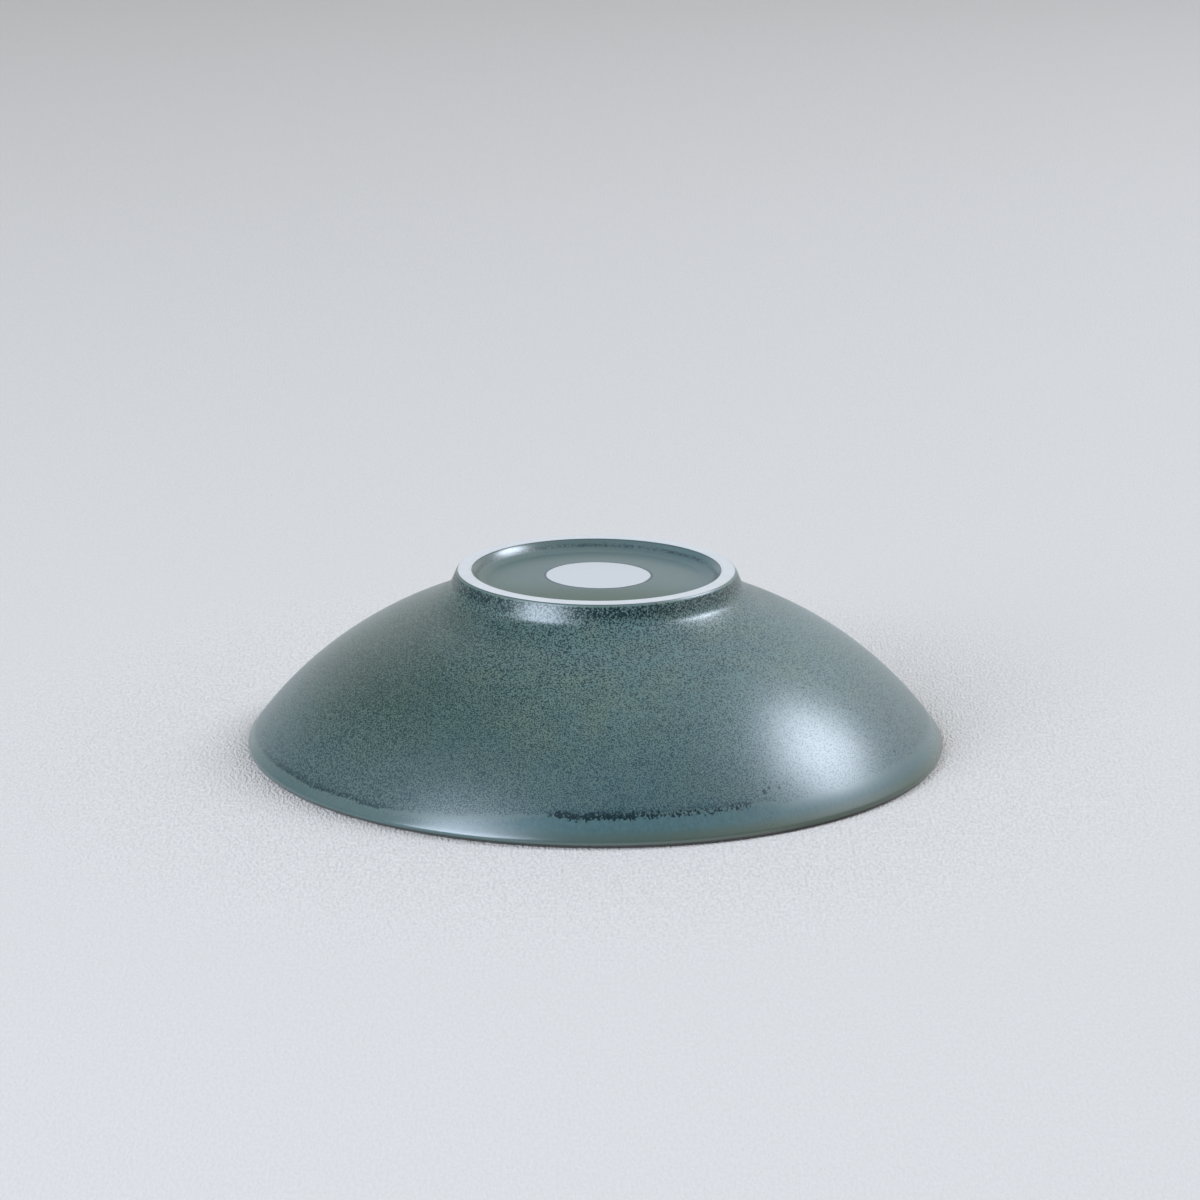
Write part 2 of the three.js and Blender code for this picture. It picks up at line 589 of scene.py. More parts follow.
    def flank_coat(self, side: FootSide, hollow: Hollow) -> Line:
        """The glaze on one flank of the foot ring: its rounded edge, its flank and the hollow below.

        Args:
            side: The flank.
            hollow: The hollow below it.

        Returns:
            The points from the bare face down to the floor.
        """
        bead_centre = side.top + side.way_down * self.bead_length
        bead_steps = math.ceil(self.bead_length / self.fine) + self.bead_extra_steps
        bead = []
        for i in range(bead_steps + 1):
            turn = math.pi / 2 * i / bead_steps
            out = side.normal * (self.glaze * math.sin(turn))
            up = side.way_down * (self.bead_length * math.cos(turn))
            bead.append(ProfilePoint(bead_centre + out - up))
        hollow_line = hollow.line(2 * self.fine)
        flank_start = bead[-1].place
        flank_way = hollow_line[0].place - flank_start
        flank_steps = max(LEAST_STEPS, math.ceil(flank_way.length / self.shown))
        flank = [
            ProfilePoint(flank_start + flank_way * (i / flank_steps), side.normal)
            for i in range(1, flank_steps)
        ]
        return bead + flank + hollow_line

    def floor_line(self, depth: float, spacing: float) -> Line:
        """The inside of the bowl from the axis to the rim band, at a depth under the glaze.

        Args:
            depth: How far under the surface it lies.
            spacing: About how far apart its points lie.

        Returns:
            The line's points.
        """
        middle = self.face.at(0.0, depth)
        on_axis = ProfilePoint(Vector((0.0, middle.place.y)), middle.facing)
        return [on_axis] + self.face.sweep(0.0, self.face_band_tilt, spacing, depth)

    def lip_line(self, depth: float, spacing: float) -> Line:
        """The rim band from the inside round the lip to the outside, at a depth under the glaze.

        Args:
            depth: How far under the surface it lies.
            spacing: About how far apart its points lie.

        Returns:
            The line's points.
        """
        inside = self.face.sweep(self.face_band_tilt, self.face_lip_tilt, spacing, depth)
        under = self.lip.sweep(self.face_lip_tilt + math.pi, math.pi, self.fine, depth)
        outside = self.lip.sweep(math.pi, self.back_lip_tilt, self.fine, depth)
        band = self.back.sweep(self.back_lip_tilt, self.back_band_tilt, spacing, depth)
        return inside + under[1:] + outside[1:] + band[1:]

    def wall_line(self, depth: float, spacing: float, top_tilt: float) -> Line:
        """The outside from the rim band up to a tilt, at a depth under the glaze."""
        return self.back.sweep(self.back_band_tilt, top_tilt, spacing, depth)

    def well_line(self, depth: float, spacing: float, edge_tilt: float) -> Line:
        """The well from a tilt in to the disc, at a depth under the glaze."""
        return self.well.sweep(edge_tilt, self.disc_tilt, spacing, depth)

    def disc_line(self, depth: float, spacing: float) -> Line:
        """The disc from its edge to the axis, at a depth under the glaze."""
        return self.well.sweep(self.disc_tilt, 0.0, spacing, depth)


# Turning


@dataclass
class Lathe:
    """Geometry Nodes tree that turns a profile line into a closed piece with a slight ripple."""

    segments: int = 360
    ripple: float = 0.03 * MM
    ripple_size: float = 16.0 * MM
    ripple_seed: float = Pattern.RIPPLE.value
    ripple_detail: float = 1.0
    same_place: float = 0.001 * MM
    crease: float = math.radians(40)
    facing_name: str = "facing"

    @cached_property
    def tree(self) -> bpy.types.NodeTree:
        """The tree, made once.

        Returns:
            The node tree.
        """
        tree = bpy.data.node_groups.new("turned_piece", "GeometryNodeTree")
        interface = tree.interface
        sockets = {
            "Profile": "NodeSocketGeometry",
            "Segments": "NodeSocketInt",
            "Ripple": "NodeSocketFloat",
            "Ripple Size": "NodeSocketFloat",
            "Seed": "NodeSocketFloat",
            "Crease": "NodeSocketFloat",
            "Material": "NodeSocketMaterial",
        }
        for name, kind in sockets.items():
            interface.new_socket(name, in_out="INPUT", socket_type=kind)
        interface.new_socket("Piece", in_out="OUTPUT", socket_type="NodeSocketGeometry")
        wiring = Wiring(tree)
        given = wiring.add("NodeGroupInput").outputs
        moved = self._turn(wiring, given)
        piece = self._close(wiring, given, moved)
        wiring.add("NodeGroupOutput", {"Piece": piece})
        return tree

    def _turn(self, wiring: Wiring, given: bpy.types.bpy_prop_collection) -> Socket:
        """Bends a grid round the axis, one row of it for each point of the profile.

        Args:
            wiring: The tree's wiring.
            given: The tree's inputs.

        Returns:
            The turned grid.
        """
        count = wiring.add("GeometryNodeAttributeDomainSize", {"Geometry": given["Profile"]})
        columns = wiring.math("ADD", given["Segments"], 1)
        rows = count.outputs["Point Count"]
        grid = wiring.add("GeometryNodeMeshGrid", {"Vertices X": rows, "Vertices Y": columns})
        index = wiring.add("GeometryNodeInputIndex").outputs[0]
        row = wiring.math("FLOOR", wiring.math("DIVIDE", index, columns))
        column = wiring.math("SUBTRACT", index, wiring.math("MULTIPLY", row, columns))
        turn = wiring.math("DIVIDE", column, given["Segments"])
        angle = wiring.math("MULTIPLY", turn, math.tau)
        place = wiring.add("GeometryNodeInputPosition").outputs[0]
        facing = wiring.add(
            "GeometryNodeInputNamedAttribute", {"Name": self.facing_name}, data_type="FLOAT_VECTOR"
        ).outputs[0]
        swung = []
        for value in (place, facing):
            sample = wiring.add(
                "GeometryNodeSampleIndex",
                {"Geometry": given["Profile"], "Value": value, "Index": row},
                data_type="FLOAT_VECTOR",
                domain="POINT",
            )
            inputs = {"Vector": sample.outputs[0], "Angle": angle}
            swung.append(wiring.add("ShaderNodeVectorRotate", inputs, rotation_type="Z_AXIS").outputs[0])
        scale = wiring.math("DIVIDE", 1.0, given["Ripple Size"])
        noise = wiring.add(
            "ShaderNodeTexNoise",
            {"Vector": swung[0], "W": given["Seed"], "Scale": scale, "Detail": self.ripple_detail},
            noise_dimensions="4D",
        ).outputs[0]
        sink = wiring.product(noise, given["Ripple"], -1.0)
        offset = wiring.vector("SCALE", {0: swung[1], "Scale": sink}).outputs[0]
        inputs = {"Geometry": grid.outputs["Mesh"], "Position": swung[0], "Offset": offset}
        return wiring.add("GeometryNodeSetPosition", inputs).outputs[0]

    def _close(
        self, wiring: Wiring, given: bpy.types.bpy_prop_collection, moved: Socket
    ) -> Socket:
        """Welds the seam and the poles, turns the faces out, shades the rounds smooth and sets the finish.

        Args:
            wiring: The tree's wiring.
            given: The tree's inputs.
            moved: The turned grid.

        Returns:
            The finished piece.
        """
        inputs = {"Geometry": moved, "Distance": self.same_place}
        welded = wiring.add("GeometryNodeMergeByDistance", inputs).outputs[0]
        outward = wiring.add("GeometryNodeFlipFaces", {"Mesh": welded}).outputs[0]
        inputs = {"Geometry": outward, "Shade Smooth": True}
        smooth = wiring.add("GeometryNodeSetShadeSmooth", inputs, domain="FACE").outputs[0]
        bend = wiring.add("GeometryNodeInputMeshEdgeAngle").outputs["Unsigned Angle"]
        sharp = wiring.math("GREATER_THAN", bend, given["Crease"])
        inputs = {"Geometry": smooth, "Selection": sharp, "Shade Smooth": False}
        creased = wiring.add("GeometryNodeSetShadeSmooth", inputs, domain="EDGE").outputs[0]
        real = wiring.add("GeometryNodeRealizeInstances", {"Geometry": creased}).outputs[0]
        inputs = {"Geometry": real, "Material": given["Material"]}
        return wiring.add("GeometryNodeSetMaterial", inputs).outputs[0]

    def _profile_mesh(self, name: str, line: Line) -> bpy.types.Mesh:
        """A chain of edges along a profile line, with its facings as an attribute.

        Args:
            name: The mesh's name.
            line: The profile's points in order.

        Returns:
            The mesh.
        """
        mesh = bpy.data.meshes.new(name)
        places = [(point.place.x, 0.0, point.place.y) for point in line]
        mesh.from_pydata(places, [(i, i + 1) for i in range(len(line) - 1)], [])
        facings = mesh.attributes.new(self.facing_name, "FLOAT_VECTOR", "POINT")
        for item, point in zip(facings.data, line):
            item.vector = (point.facing.x, 0.0, point.facing.y)
        return mesh

    def turn(self, name: str, line: Line, material: bpy.types.Material) -> bpy.types.Object:
        """Turns one piece.

        Args:
            name: The piece's name.
            line: Its profile; a ring's line ends where it starts.
            material: Its finish.

        Returns:
            The piece as a plain mesh at the origin.
        """
        piece = bpy.data.objects.new(name, self._profile_mesh(name, line))
        bpy.context.scene.collection.objects.link(piece)
        modifier = piece.modifiers.new("turned", "NODES")
        modifier.node_group = self.tree
        values = {
            "Segments": self.segments,
            "Ripple": self.ripple,
            "Ripple Size": self.ripple_size,
            "Seed": self.ripple_seed,
            "Crease": self.crease,
            "Material": material,
        }
        for item in self.tree.interface.items_tree:
            if item.name in values:
                modifier[item.identifier] = values[item.name]
        graph = bpy.context.evaluated_depsgraph_get()
        mesh = bpy.data.meshes.new_from_object(piece.evaluated_get(graph), depsgraph=graph)
        line_mesh = piece.data
        piece.modifiers.clear()
        piece.data = mesh
        bpy.data.meshes.remove(line_mesh)
        mesh.name = name
        return piece


# Finishes


class Finish:
    """A material's node tree, with the places that a plate's pattern is looked up by."""

    def __init__(self, name: str) -> None:
        """Starts an empty material.

        Args:
            name: The material's name.
        """
        self.material = bpy.data.materials.new(name)
        self.material.use_nodes = True
        tree = self.material.node_tree
        tree.nodes.clear()
        self.wiring = Wiring(tree)
        self.shader = self.wiring.add("ShaderNodeBsdfPrincipled")
        self.wiring.add("ShaderNodeOutputMaterial", {"Surface": self.shader.outputs[0]})
        self.place = self.wiring.add("ShaderNodeTexCoord").outputs["Object"]
        self.kept: dict[str, Socket] = {}

    @cached_property
    def _parts(self) -> bpy.types.bpy_prop_collection:
        """The place's three numbers."""
        return self.wiring.add("ShaderNodeSeparateXYZ", {0: self.place}).outputs

    @property
    def across(self) -> Socket:
        """Distance to the right of the plate's axis."""
        return self._parts["X"]

    @property
    def along(self) -> Socket:
        """Distance behind the plate's axis."""
        return self._parts["Y"]

    @property
    def height(self) -> Socket:
        """Height above the table."""
        return self._parts["Z"]

    @cached_property
    def flat_place(self) -> Socket:
        """The place seen from above."""
        return self.stretched((1.0, 1.0, 0.0))

    @cached_property
    def radius(self) -> Socket:
        """Distance from the plate's axis."""
        return self.wiring.length(self.flat_place)

    @cached_property
    def azimuth(self) -> Socket:
        """Angle round the axis from the front, in degrees, growing to the right."""
        front = self.wiring.math("MULTIPLY", self.along, -1.0)
        return self.wiring.math("DEGREES", self.wiring.math("ARCTAN2", self.across, front))

    def stretched(self, scale: Triple) -> Socket:
        """The place scaled along each axis, so that its noise is drawn out where the scale is small."""
        return self.wiring.vector("MULTIPLY", {0: self.place, 1: scale}).outputs[0]

    def distance_from(self, middle: Triple) -> Socket:
        """Distance, seen from above, from a point beside the plate's axis."""
        moved = self.wiring.vector("SUBTRACT", {0: self.flat_place, 1: middle}).outputs[0]
        return self.wiring.length(moved)

    def round_rim(self, radius: float) -> Socket:
        """The place moved straight out onto a circle, so that its noise runs in upright streaks.

        Args:
            radius: Radius of the circle.

        Returns:
            The moved place.
        """
        unit = self.wiring.vector("NORMALIZE", {0: self.flat_place}).outputs[0]
        return self.wiring.vector("SCALE", {0: unit, "Scale": radius}).outputs[0]

    def bump(self, height: Socket, distance: float) -> None:
        """Roughens the surface's normals.

        Args:
            height: The bumps, from 0 to 1.
            distance: How high 1 is, in metres.
        """
        inputs = {"Height": height, "Distance": distance, "Strength": 1.0}
        self.set("Normal", self.wiring.add("ShaderNodeBump", inputs).outputs[0])

    def set(self, name: str, value: Feed) -> None:
        """Sets or links one of the shader's inputs."""
        self.wiring.feed(self.shader.inputs[name], value)


GlazeMethod = Callable[["ReactiveGlaze", Finish], Socket]


def once(method: GlazeMethod) -> GlazeMethod:
    """Keeps what a glaze's method adds to a finish, so that its nodes stand there only once.

    Args:
        method: The method, which adds nodes to a finish.

    Returns:
        The method that adds them at its first call for a finish, and then gives the same socket.
    """

    @wraps(method)
    def kept(glaze: "ReactiveGlaze", finish: Finish) -> Socket:
        """Gives the kept socket, or makes it."""
        if method.__qualname__ not in finish.kept:
            finish.kept[method.__qualname__] = method(glaze, finish)
        return finish.kept[method.__qualname__]

    return kept


@dataclass(frozen=True)
class ReactiveGlaze:
    """Satin grey-green glaze whose dark flecks crowd together where the glaze ran or pooled."""

    name: str

    # Ground, cooler to the right
    cool: Colour = (0.125, 0.219, 0.209, 1.0)
    olive: Colour = (0.166, 0.238, 0.184, 1.0)
    drift_cell: float = 38.0 * MM
    mottle_cell: float = 7.0 * MM
    mottle_share: float = 0.5
    warm_low: float = 0.3
    warm_high: float = 0.7
    cold_start: float = 5.0 * MM
    cold_end: float = 60.0 * MM
    cold_share: float = 0.45

    # Deeper ground towards the rim
    deep: Colour = (0.074, 0.138, 0.138, 1.0)
    deep_share: float = 0.6
    low_height: float = 8.0 * MM
    high_height: float = 32.0 * MM

    # Thicker glaze on the left; at the far left it fades again, painted sheen that lightens the ground by
    # the left silhouette
    thick_glaze_and_shade: Colour = (0.054, 0.102, 0.063, 1.0)
    thick_start: float = 10.0 * MM
    thick_full: float = -75.0 * MM
    thick_share: float = 0.7
    thick_low: float = 0.62
    sheen_lift_start: float = -72.0 * MM
    sheen_lift_end: float = -98.0 * MM
    painted_sheen_lift: float = 0.75
    thick_cover: float = 0.03

    # Flecks, broader at the sides and the top
    fleck: Colour = (0.004, 0.034, 0.042, 1.0)
    fleck_low: Colour = (0.014, 0.052, 0.070, 1.0)
    fleck_left: Colour = (0.002, 0.028, 0.023, 1.0)
    fleck_cell: float = 0.35 * MM
    broad_cell: float = 0.5 * MM
    side_start: float = 30.0 * MM
    side_end: float = 75.0 * MM
    top_start: float = 24.0 * MM
    top_end: float = 42.0 * MM
    fleck_cover: float = 0.48
    fleck_edge: float = 0.06
    clump_spread: float = 0.04

    # Pooled glaze, and the thin edge by the bare face
    pool: Colour = (0.001, 0.019, 0.025, 1.0)
    # The same brown darkens the lip's bottom, where it is partly painted shade at the floor
    brown: Colour = (0.024, 0.027, 0.022, 1.0)
    bare: Colour = (0.76, 0.77, 0.76, 1.0)
    brown_low: float = 50.75 * MM
    brown_high: float = 50.95 * MM
    brown_share: float = 0.6
    bare_low: float = 50.98 * MM
    bare_high: float = 51.08 * MM

    # Surface
    roughness: float = 0.33
    roughness_spread: float = 0.10
    polish: float = 0.08
    shine: float = 0.535
    pool_dull: float = 0.14
    fleck_dull: float = 0.09
    ior: float = 1.8
    sheen: float = 0.2
    sheen_roughness: float = 0.35
    grain_cell: float = 0.4 * MM
    grain_height: float = 0.006 * MM

    def _flecks(self, finish: Finish, cover: Feed) -> Socket:
        """Worm-like dark flecks.

        Args:
            finish: The material.
            cover: How far up the noise the flecks reach.

        Returns:
            How much of the fleck's colour shows.
        """
        wiring = finish.wiring
        fine = wiring.noise(finish.place, self.fleck_cell, Pattern.FLECKS)
        broad = wiring.noise(finish.place, self.broad_cell, Pattern.BROAD_FLECKS)
        side = wiring.rise(wiring.math("ABSOLUTE", finish.across), self.side_start, self.side_end)
        top = wiring.rise(finish.height, self.top_start, self.top_end)
        noise = wiring.between(wiring.most(side, top), fine, broad)
        return wiring.below(noise, cover, self.fleck_edge)

    def _low(self, finish: Finish, top: float = 1.0) -> Socket:
        """A number that grows from nil near the foot to its top near the rim."""
        return finish.wiring.rise(finish.height, self.high_height, self.low_height, top)

    def _left(self, finish: Finish, top: float = 1.0) -> Socket:
        """A number that grows to its top towards the left, where the glaze ran thicker above the rim, and
        falls again at the far left as painted sheen by the silhouette.

        Args:
            finish: The material.
            top: Its top.

        Returns:
            The number.
        """
        wiring = finish.wiring
        left = wiring.rise(finish.across, self.thick_start, self.thick_full, top)
        high = wiring.rest(self._low(finish, self.thick_low))
        # painted sheen: less of the dark thick glaze by the left silhouette, so that edge reads lighter
        painted_sheen = wiring.rise(finish.across, self.sheen_lift_start, self.sheen_lift_end, self.painted_sheen_lift)
        return wiring.product(left, high, wiring.rest(painted_sheen))

    def _base(self, finish: Finish) -> Socket:
        """The ground colour, drifting between cool grey-green and olive.

        Args:
            finish: The material.

        Returns:
            The colour.
        """
        wiring = finish.wiring
        drift = wiring.noise(finish.place, self.drift_cell, Pattern.DRIFT)
        mottle = wiring.noise(finish.place, self.mottle_cell, Pattern.MOTTLE)
        both = wiring.between(self.mottle_share, drift, mottle)
        cold = wiring.rise(finish.across, self.cold_start, self.cold_end, self.cold_share)
        warm = wiring.math("SUBTRACT", wiring.rise(both, self.warm_low, self.warm_high), cold)
        colour = wiring.mix(warm, self.cool, self.olive)
        colour = wiring.mix(self._low(finish, self.deep_share), colour, self.deep)
        return wiring.mix(self._left(finish, self.thick_share), colour, self.thick_glaze_and_shade)

    def cover(self, finish: Finish) -> Feed:
        """How far the flecks reach, over the whole coat.

        Args:
            finish: The material.

        Returns:
            The level of the noise up to which flecks lie.
        """
        wiring = finish.wiring
        clump = wiring.noise(finish.place, self.mottle_cell, Pattern.CLUMPS, detail=1.0)
        cover = wiring.spread(clump, self.fleck_cover, self.clump_spread)
        return wiring.math("ADD", cover, self._left(finish, self.thick_cover))

    def tint(self, finish: Finish, colour: Socket) -> Socket:
        """Colours that belong to one coat alone; the plain coat has none."""
        return colour

    def bare_edge(self, finish: Finish, colour: Socket) -> Socket:
        """Adds the thin brown line by the bare face, and the white that shows through above it.

        Args:
            finish: The material.
            colour: The coat's colour so far.

        Returns:
            The colour with its edge.
        """
        wiring = finish.wiring
        brown = wiring.rise(finish.height, self.brown_low, self.brown_high, self.brown_share)
        colour = wiring.mix(brown, colour, self.brown)
        bare = wiring.rise(finish.height, self.bare_low, self.bare_high)
        return wiring.mix(bare, colour, self.bare)

    def pooled(self, finish: Finish) -> Feed:
        """Where dark glaze pooled, which takes off some of the shine; nowhere on the plain coat."""
        return None

    def polished(self, finish: Finish) -> Feed:
        """Where the coat is smoother than the rest; nowhere on the plain coat."""
        return None

    def make(self) -> bpy.types.Material:
        """Builds the material.

        Returns:
            The material.
        """
        finish = Finish(self.name)
        wiring = finish.wiring
        flecks = self._flecks(finish, self.cover(finish))
        fleck = wiring.mix(self._low(finish), self.fleck, self.fleck_low)
        fleck = wiring.mix(self._left(finish), fleck, self.fleck_left)
        colour = wiring.mix(flecks, self._base(finish), fleck)
        finish.set("Base Color", self.tint(finish, colour))
        grain = wiring.noise(finish.place, self.grain_cell, Pattern.GRAIN, detail=1.0)
        rough = wiring.spread(grain, self.roughness, self.roughness_spread)
        polished = self.polished(finish)
        if polished is not None:
            rough = wiring.math("MULTIPLY_ADD", polished, -self.polish, rough)
        finish.set("Roughness", rough)
        pooled = self.pooled(finish)
        if pooled is not None:
            level = wiring.math("MULTIPLY_ADD", pooled, -self.pool_dull, self.shine)
            finish.set("Specular IOR Level", wiring.math("MULTIPLY_ADD", flecks, -self.fleck_dull, level))
        finish.set("IOR", self.ior)
        finish.set("Sheen Weight", self.sheen)
        finish.set("Sheen Roughness", self.sheen_roughness)
        finish.bump(grain, self.grain_height)
        return finish.material


@dataclass(frozen=True)
class RimStep:
    """A change of some amount between two azimuths round the rim, in degrees from the front."""

    start: float
    end: float
    change: float


@dataclass(frozen=True)
class Spot:
    """A single dark spot in the glaze, by azimuth in degrees, height and radius."""

    azimuth: float
    height: float
    radius: float


RimSteps = tuple[RimStep, ...]


@dataclass(frozen=True)
class WallGlaze(ReactiveGlaze):
    """The glaze on the outside: dark under the foot, with a dark pooled line above a smooth rim band."""

    # Fewer flecks on the right
    thin_start: float = 28.0 * MM
    thin_end: float = 58.0 * MM
    thin_cover: float = 0.015

    # Dark flecks on the foot's flank, fewer where it faces the left
    foot_low: float = 45.9 * MM
    foot_full: float = 47.8 * MM
    foot_high: float = 50.2 * MM
    foot_clear: float = 51.0 * MM
    dense_low: float = 48.9 * MM
    dense_full: float = 49.9 * MM
    foot_steps: RimSteps = (
        RimStep(-36.0, -29.0, -0.5),
        RimStep(-13.0, -7.0, 0.5),
    )

    # Dark flecks that crowd together, on the foot and over the rim band
    crowd_cell: float = 0.55 * MM
    crowd_level: float = 0.30
    crowd_rise: float = 0.19
    crowd_edge: float = 0.035
    crowd_dark: float = 0.93
    crowd_depth: float = 2.7 * MM
    crowd_cover: float = 0.14
    crowd_steps: RimSteps = (
        RimStep(-75.0, -62.0, 0.5),
        RimStep(-38.0, -26.0, -0.4),
        RimStep(-12.0, -4.0, 0.3),
        RimStep(24.0, 32.0, -0.4),
    )
    rim_soft: float = 0.6 * MM
    rim_full: float = 0.8 * MM
    rim_steps: RimSteps = (
        RimStep(-85.0, -66.0, 0.86),
        RimStep(-40.0, -26.0, -0.86),
    )

    # The pooled line over the rim band
    line_radius: float = 95.0 * MM
    line_height: float = 4.2 * MM
    line_half: float = 2.4 * MM
    line_wobble: float = 1.2 * MM
    line_soft: float = 0.7 * MM
    line_dark: float = 0.98
    wander_cell: float = 9.0 * MM
    drip_cell: float = 1.3 * MM
    drip_share: float = 0.5
    drip_stretch: Triple = (1.0, 1.0, 0.45)
    patch_cell: float = 0.6 * MM
    patch_level: float = 0.1
    patch_rise: float = 0.5
    patch_edge: float = 0.07
    line_steps: RimSteps = (
        RimStep(-30.0, -3.0, 3.7 * MM),
        RimStep(27.0, 33.0, -1.6 * MM),
        RimStep(70.0, 150.0, -2.1 * MM),
    )
    soft_steps: RimSteps = (
        RimStep(-40.0, -25.0, 1.2 * MM),
        RimStep(-18.0, -8.0, -1.2 * MM),
        RimStep(24.0, 40.0, 1.4 * MM),
        RimStep(90.0, 160.0, -1.4 * MM),
    )
    strength_full: float = 0.3
    strength_steps: RimSteps = (
        RimStep(-11.5, -5.0, 1.0),
        RimStep(4.0, 12.0, -0.18),
        RimStep(24.0, 31.0, -0.82),
    )

    # Single spots near the end of the line
    spot_core: float = 0.5
    spot_dark: float = 0.95
    spots: tuple[Spot, ...] = (
        Spot(29.1, 10.4 * MM, 0.8 * MM),
        Spot(30.2, 11.1 * MM, 0.55 * MM),
        Spot(32.1, 10.7 * MM, 0.5 * MM),
        Spot(62.6, 10.1 * MM, 0.5 * MM),
    )

    # The rim band, teal at the front and matt on the right
    band: Colour = (0.088, 0.146, 0.132, 1.0)
    teal: Colour = (0.082, 0.166, 0.176, 1.0)
    streak_cell: float = 1.6 * MM
    streak_spread: float = 1.6
    mist_cell: float = 0.9 * MM
    mist_share: float = 0.32
    teal_steps: RimSteps = (
        RimStep(-40.0, -8.0, 0.8),
        RimStep(24.0, 40.0, -0.2),
        RimStep(70.0, 150.0, -0.6),
    )
    matt_steps: RimSteps = (
        RimStep(26.0, 36.0, 1.9),
        RimStep(60.0, 80.0, -1.9),
    )

    # The lip, cool on the left and olive on the right, with a dark brown edge at the bottom that is partly
    # the glaze's brown break and partly painted shade where the lip meets the floor
    lip_cool: Colour = (0.072, 0.137, 0.136, 1.0)
    lip_olive: Colour = (0.097, 0.133, 0.100, 1.0)
    lip_cool_end: float = -70.0 * MM
    lip_olive_end: float = 55.0 * MM
    lip_high: float = 5.2 * MM
    lip_low: float = 2.4 * MM
    lip_edge_high: float = 1.35 * MM
    lip_edge_low: float = 0.75 * MM
    lip_back: float = 0.5
    lip_steps: RimSteps = (
        RimStep(-40.0, 0.0, 0.5),
        RimStep(90.0, 150.0, -0.5),
    )

    def _along_rim(self, finish: Finish, start: float, steps: RimSteps) -> Socket:
        """A number that changes in steps round the rim.

        Args:
            finish: The material.
            start: Its value at the back, on the left.
            steps: Its changes; they add up to nothing, so that it closes at the back.

        Returns:
            The number.
        """
        wiring = finish.wiring
        total: Feed = start
        for step in steps:
            change = wiring.rise(finish.azimuth, step.start, step.end, step.change)
            total = wiring.math("ADD", total, change)
        return total

    @once
    def _rim_place(self, finish: Finish) -> Socket:
        """The place on the rim by which the line and the band's streaks are looked up."""
        return finish.round_rim(self.line_radius)

    @once
    def _dripped(self, finish: Finish) -> Socket:
        """The place drawn out upright, for marks that ran down."""
        return finish.stretched(self.drip_stretch)

    @once
    def _above_line(self, finish: Finish) -> Socket:
        """Height above the pooled line, which wanders round the rim.

        Args:
            finish: The material.

        Returns:
            The height.
        """
        wiring = finish.wiring
        rim = self._rim_place(finish)
        wander = wiring.noise(rim, self.wander_cell, Pattern.LINE_WANDER)
        drip = wiring.noise(rim, self.drip_cell, Pattern.LINE_DRIPS, detail=1.0)
        swing = wiring.math("MULTIPLY_ADD", drip, self.drip_share, wander)
        middle = NOISE_MIDDLE * (1.0 + self.drip_share)
        swing = wiring.product(wiring.math("SUBTRACT", swing, middle), self.line_wobble)
        line = wiring.math("ADD", self._along_rim(finish, self.line_height, self.line_steps), swing)
        return wiring.math("SUBTRACT", finish.height, line)

    @once
    def _under_face(self, finish: Finish) -> Socket:
        """A number that grows from nil by the foot's bare face to one below it."""
        return finish.wiring.rise(finish.height, self.foot_clear, self.foot_high)

    @once
    def _band(self, finish: Finish) -> Socket:
        """How much of the smooth rim band shows.

        Args:
            finish: The material.

        Returns:
            Its share.
        """
        wiring = finish.wiring
        soft = self._along_rim(finish, self.line_soft, self.soft_steps)
        return wiring.rise(self._above_line(finish), soft, wiring.product(soft, -1.0))

    @once
    def _matt(self, finish: Finish) -> Socket:
        """Where round the rim the band is matt."""
        return self._along_rim(finish, 0.0, self.matt_steps)

    def cover(self, finish: Finish) -> Feed:
        """Flecks over the wall, denser over the pooled line, none on the rim band or by the bare face.

        Args:
            finish: The material.

        Returns:
            The level of the noise up to which flecks lie.
        """
        wiring = finish.wiring
        thin = wiring.rise(finish.across, self.thin_start, self.thin_end, self.thin_cover)
        cover = wiring.math("SUBTRACT", super().cover(finish), thin)
        near = wiring.rise(self._above_line(finish), self.crowd_depth, 0.0, self.crowd_cover)
        crowd = self._along_rim(finish, 0.0, self.crowd_steps)
        cover = wiring.math("MULTIPLY_ADD", near, crowd, cover)
        return wiring.product(cover, self._under_face(finish), wiring.rest(self._band(finish)))

    def _crowd(self, finish: Finish, zone: Socket, pattern: Pattern) -> Socket:
        """Near-black flecks that crowd together in a zone.

        Args:
            finish: The material.
            zone: Where they crowd, from 0 to 1.
            pattern: Their noise.

        Returns:
            How dark it is.
        """
        wiring = finish.wiring
        noise = wiring.noise(finish.place, self.crowd_cell, pattern)
        level = wiring.math("MULTIPLY_ADD", zone, self.crowd_rise, self.crowd_level)
        return wiring.product(wiring.below(noise, level, self.crowd_edge), zone, self.crowd_dark)

    def _foot_flecks(self, finish: Finish) -> Socket:
        """The flecks that crowd on the foot's flank.

        Args:
            finish: The material.

        Returns:
            How dark they are.
        """
        wiring = finish.wiring
        up = wiring.rise(finish.height, self.foot_low, self.foot_full)
        thin = self._along_rim(finish, 1.0, self.foot_steps)
        top = wiring.rise(finish.height, self.dense_low, self.dense_full)
        zone = wiring.product(up, self._under_face(finish), wiring.most(thin, top))
        return self._crowd(finish, zone, Pattern.FOOT_FLECKS)

    def _rim_flecks(self, finish: Finish) -> Socket:
        """The flecks that crowd over the rim band on the left.

        Args:
            finish: The material.

        Returns:
            How dark they are.
        """
        wiring = finish.wiring
        above = self._above_line(finish)
        up = wiring.rise(above, -self.rim_soft, self.rim_soft)
        off = wiring.rise(above, self.crowd_depth, self.rim_full)
        zone = wiring.product(up, off, self._along_rim(finish, 0.0, self.rim_steps))
        return self._crowd(finish, zone, Pattern.RIM_FLECKS)

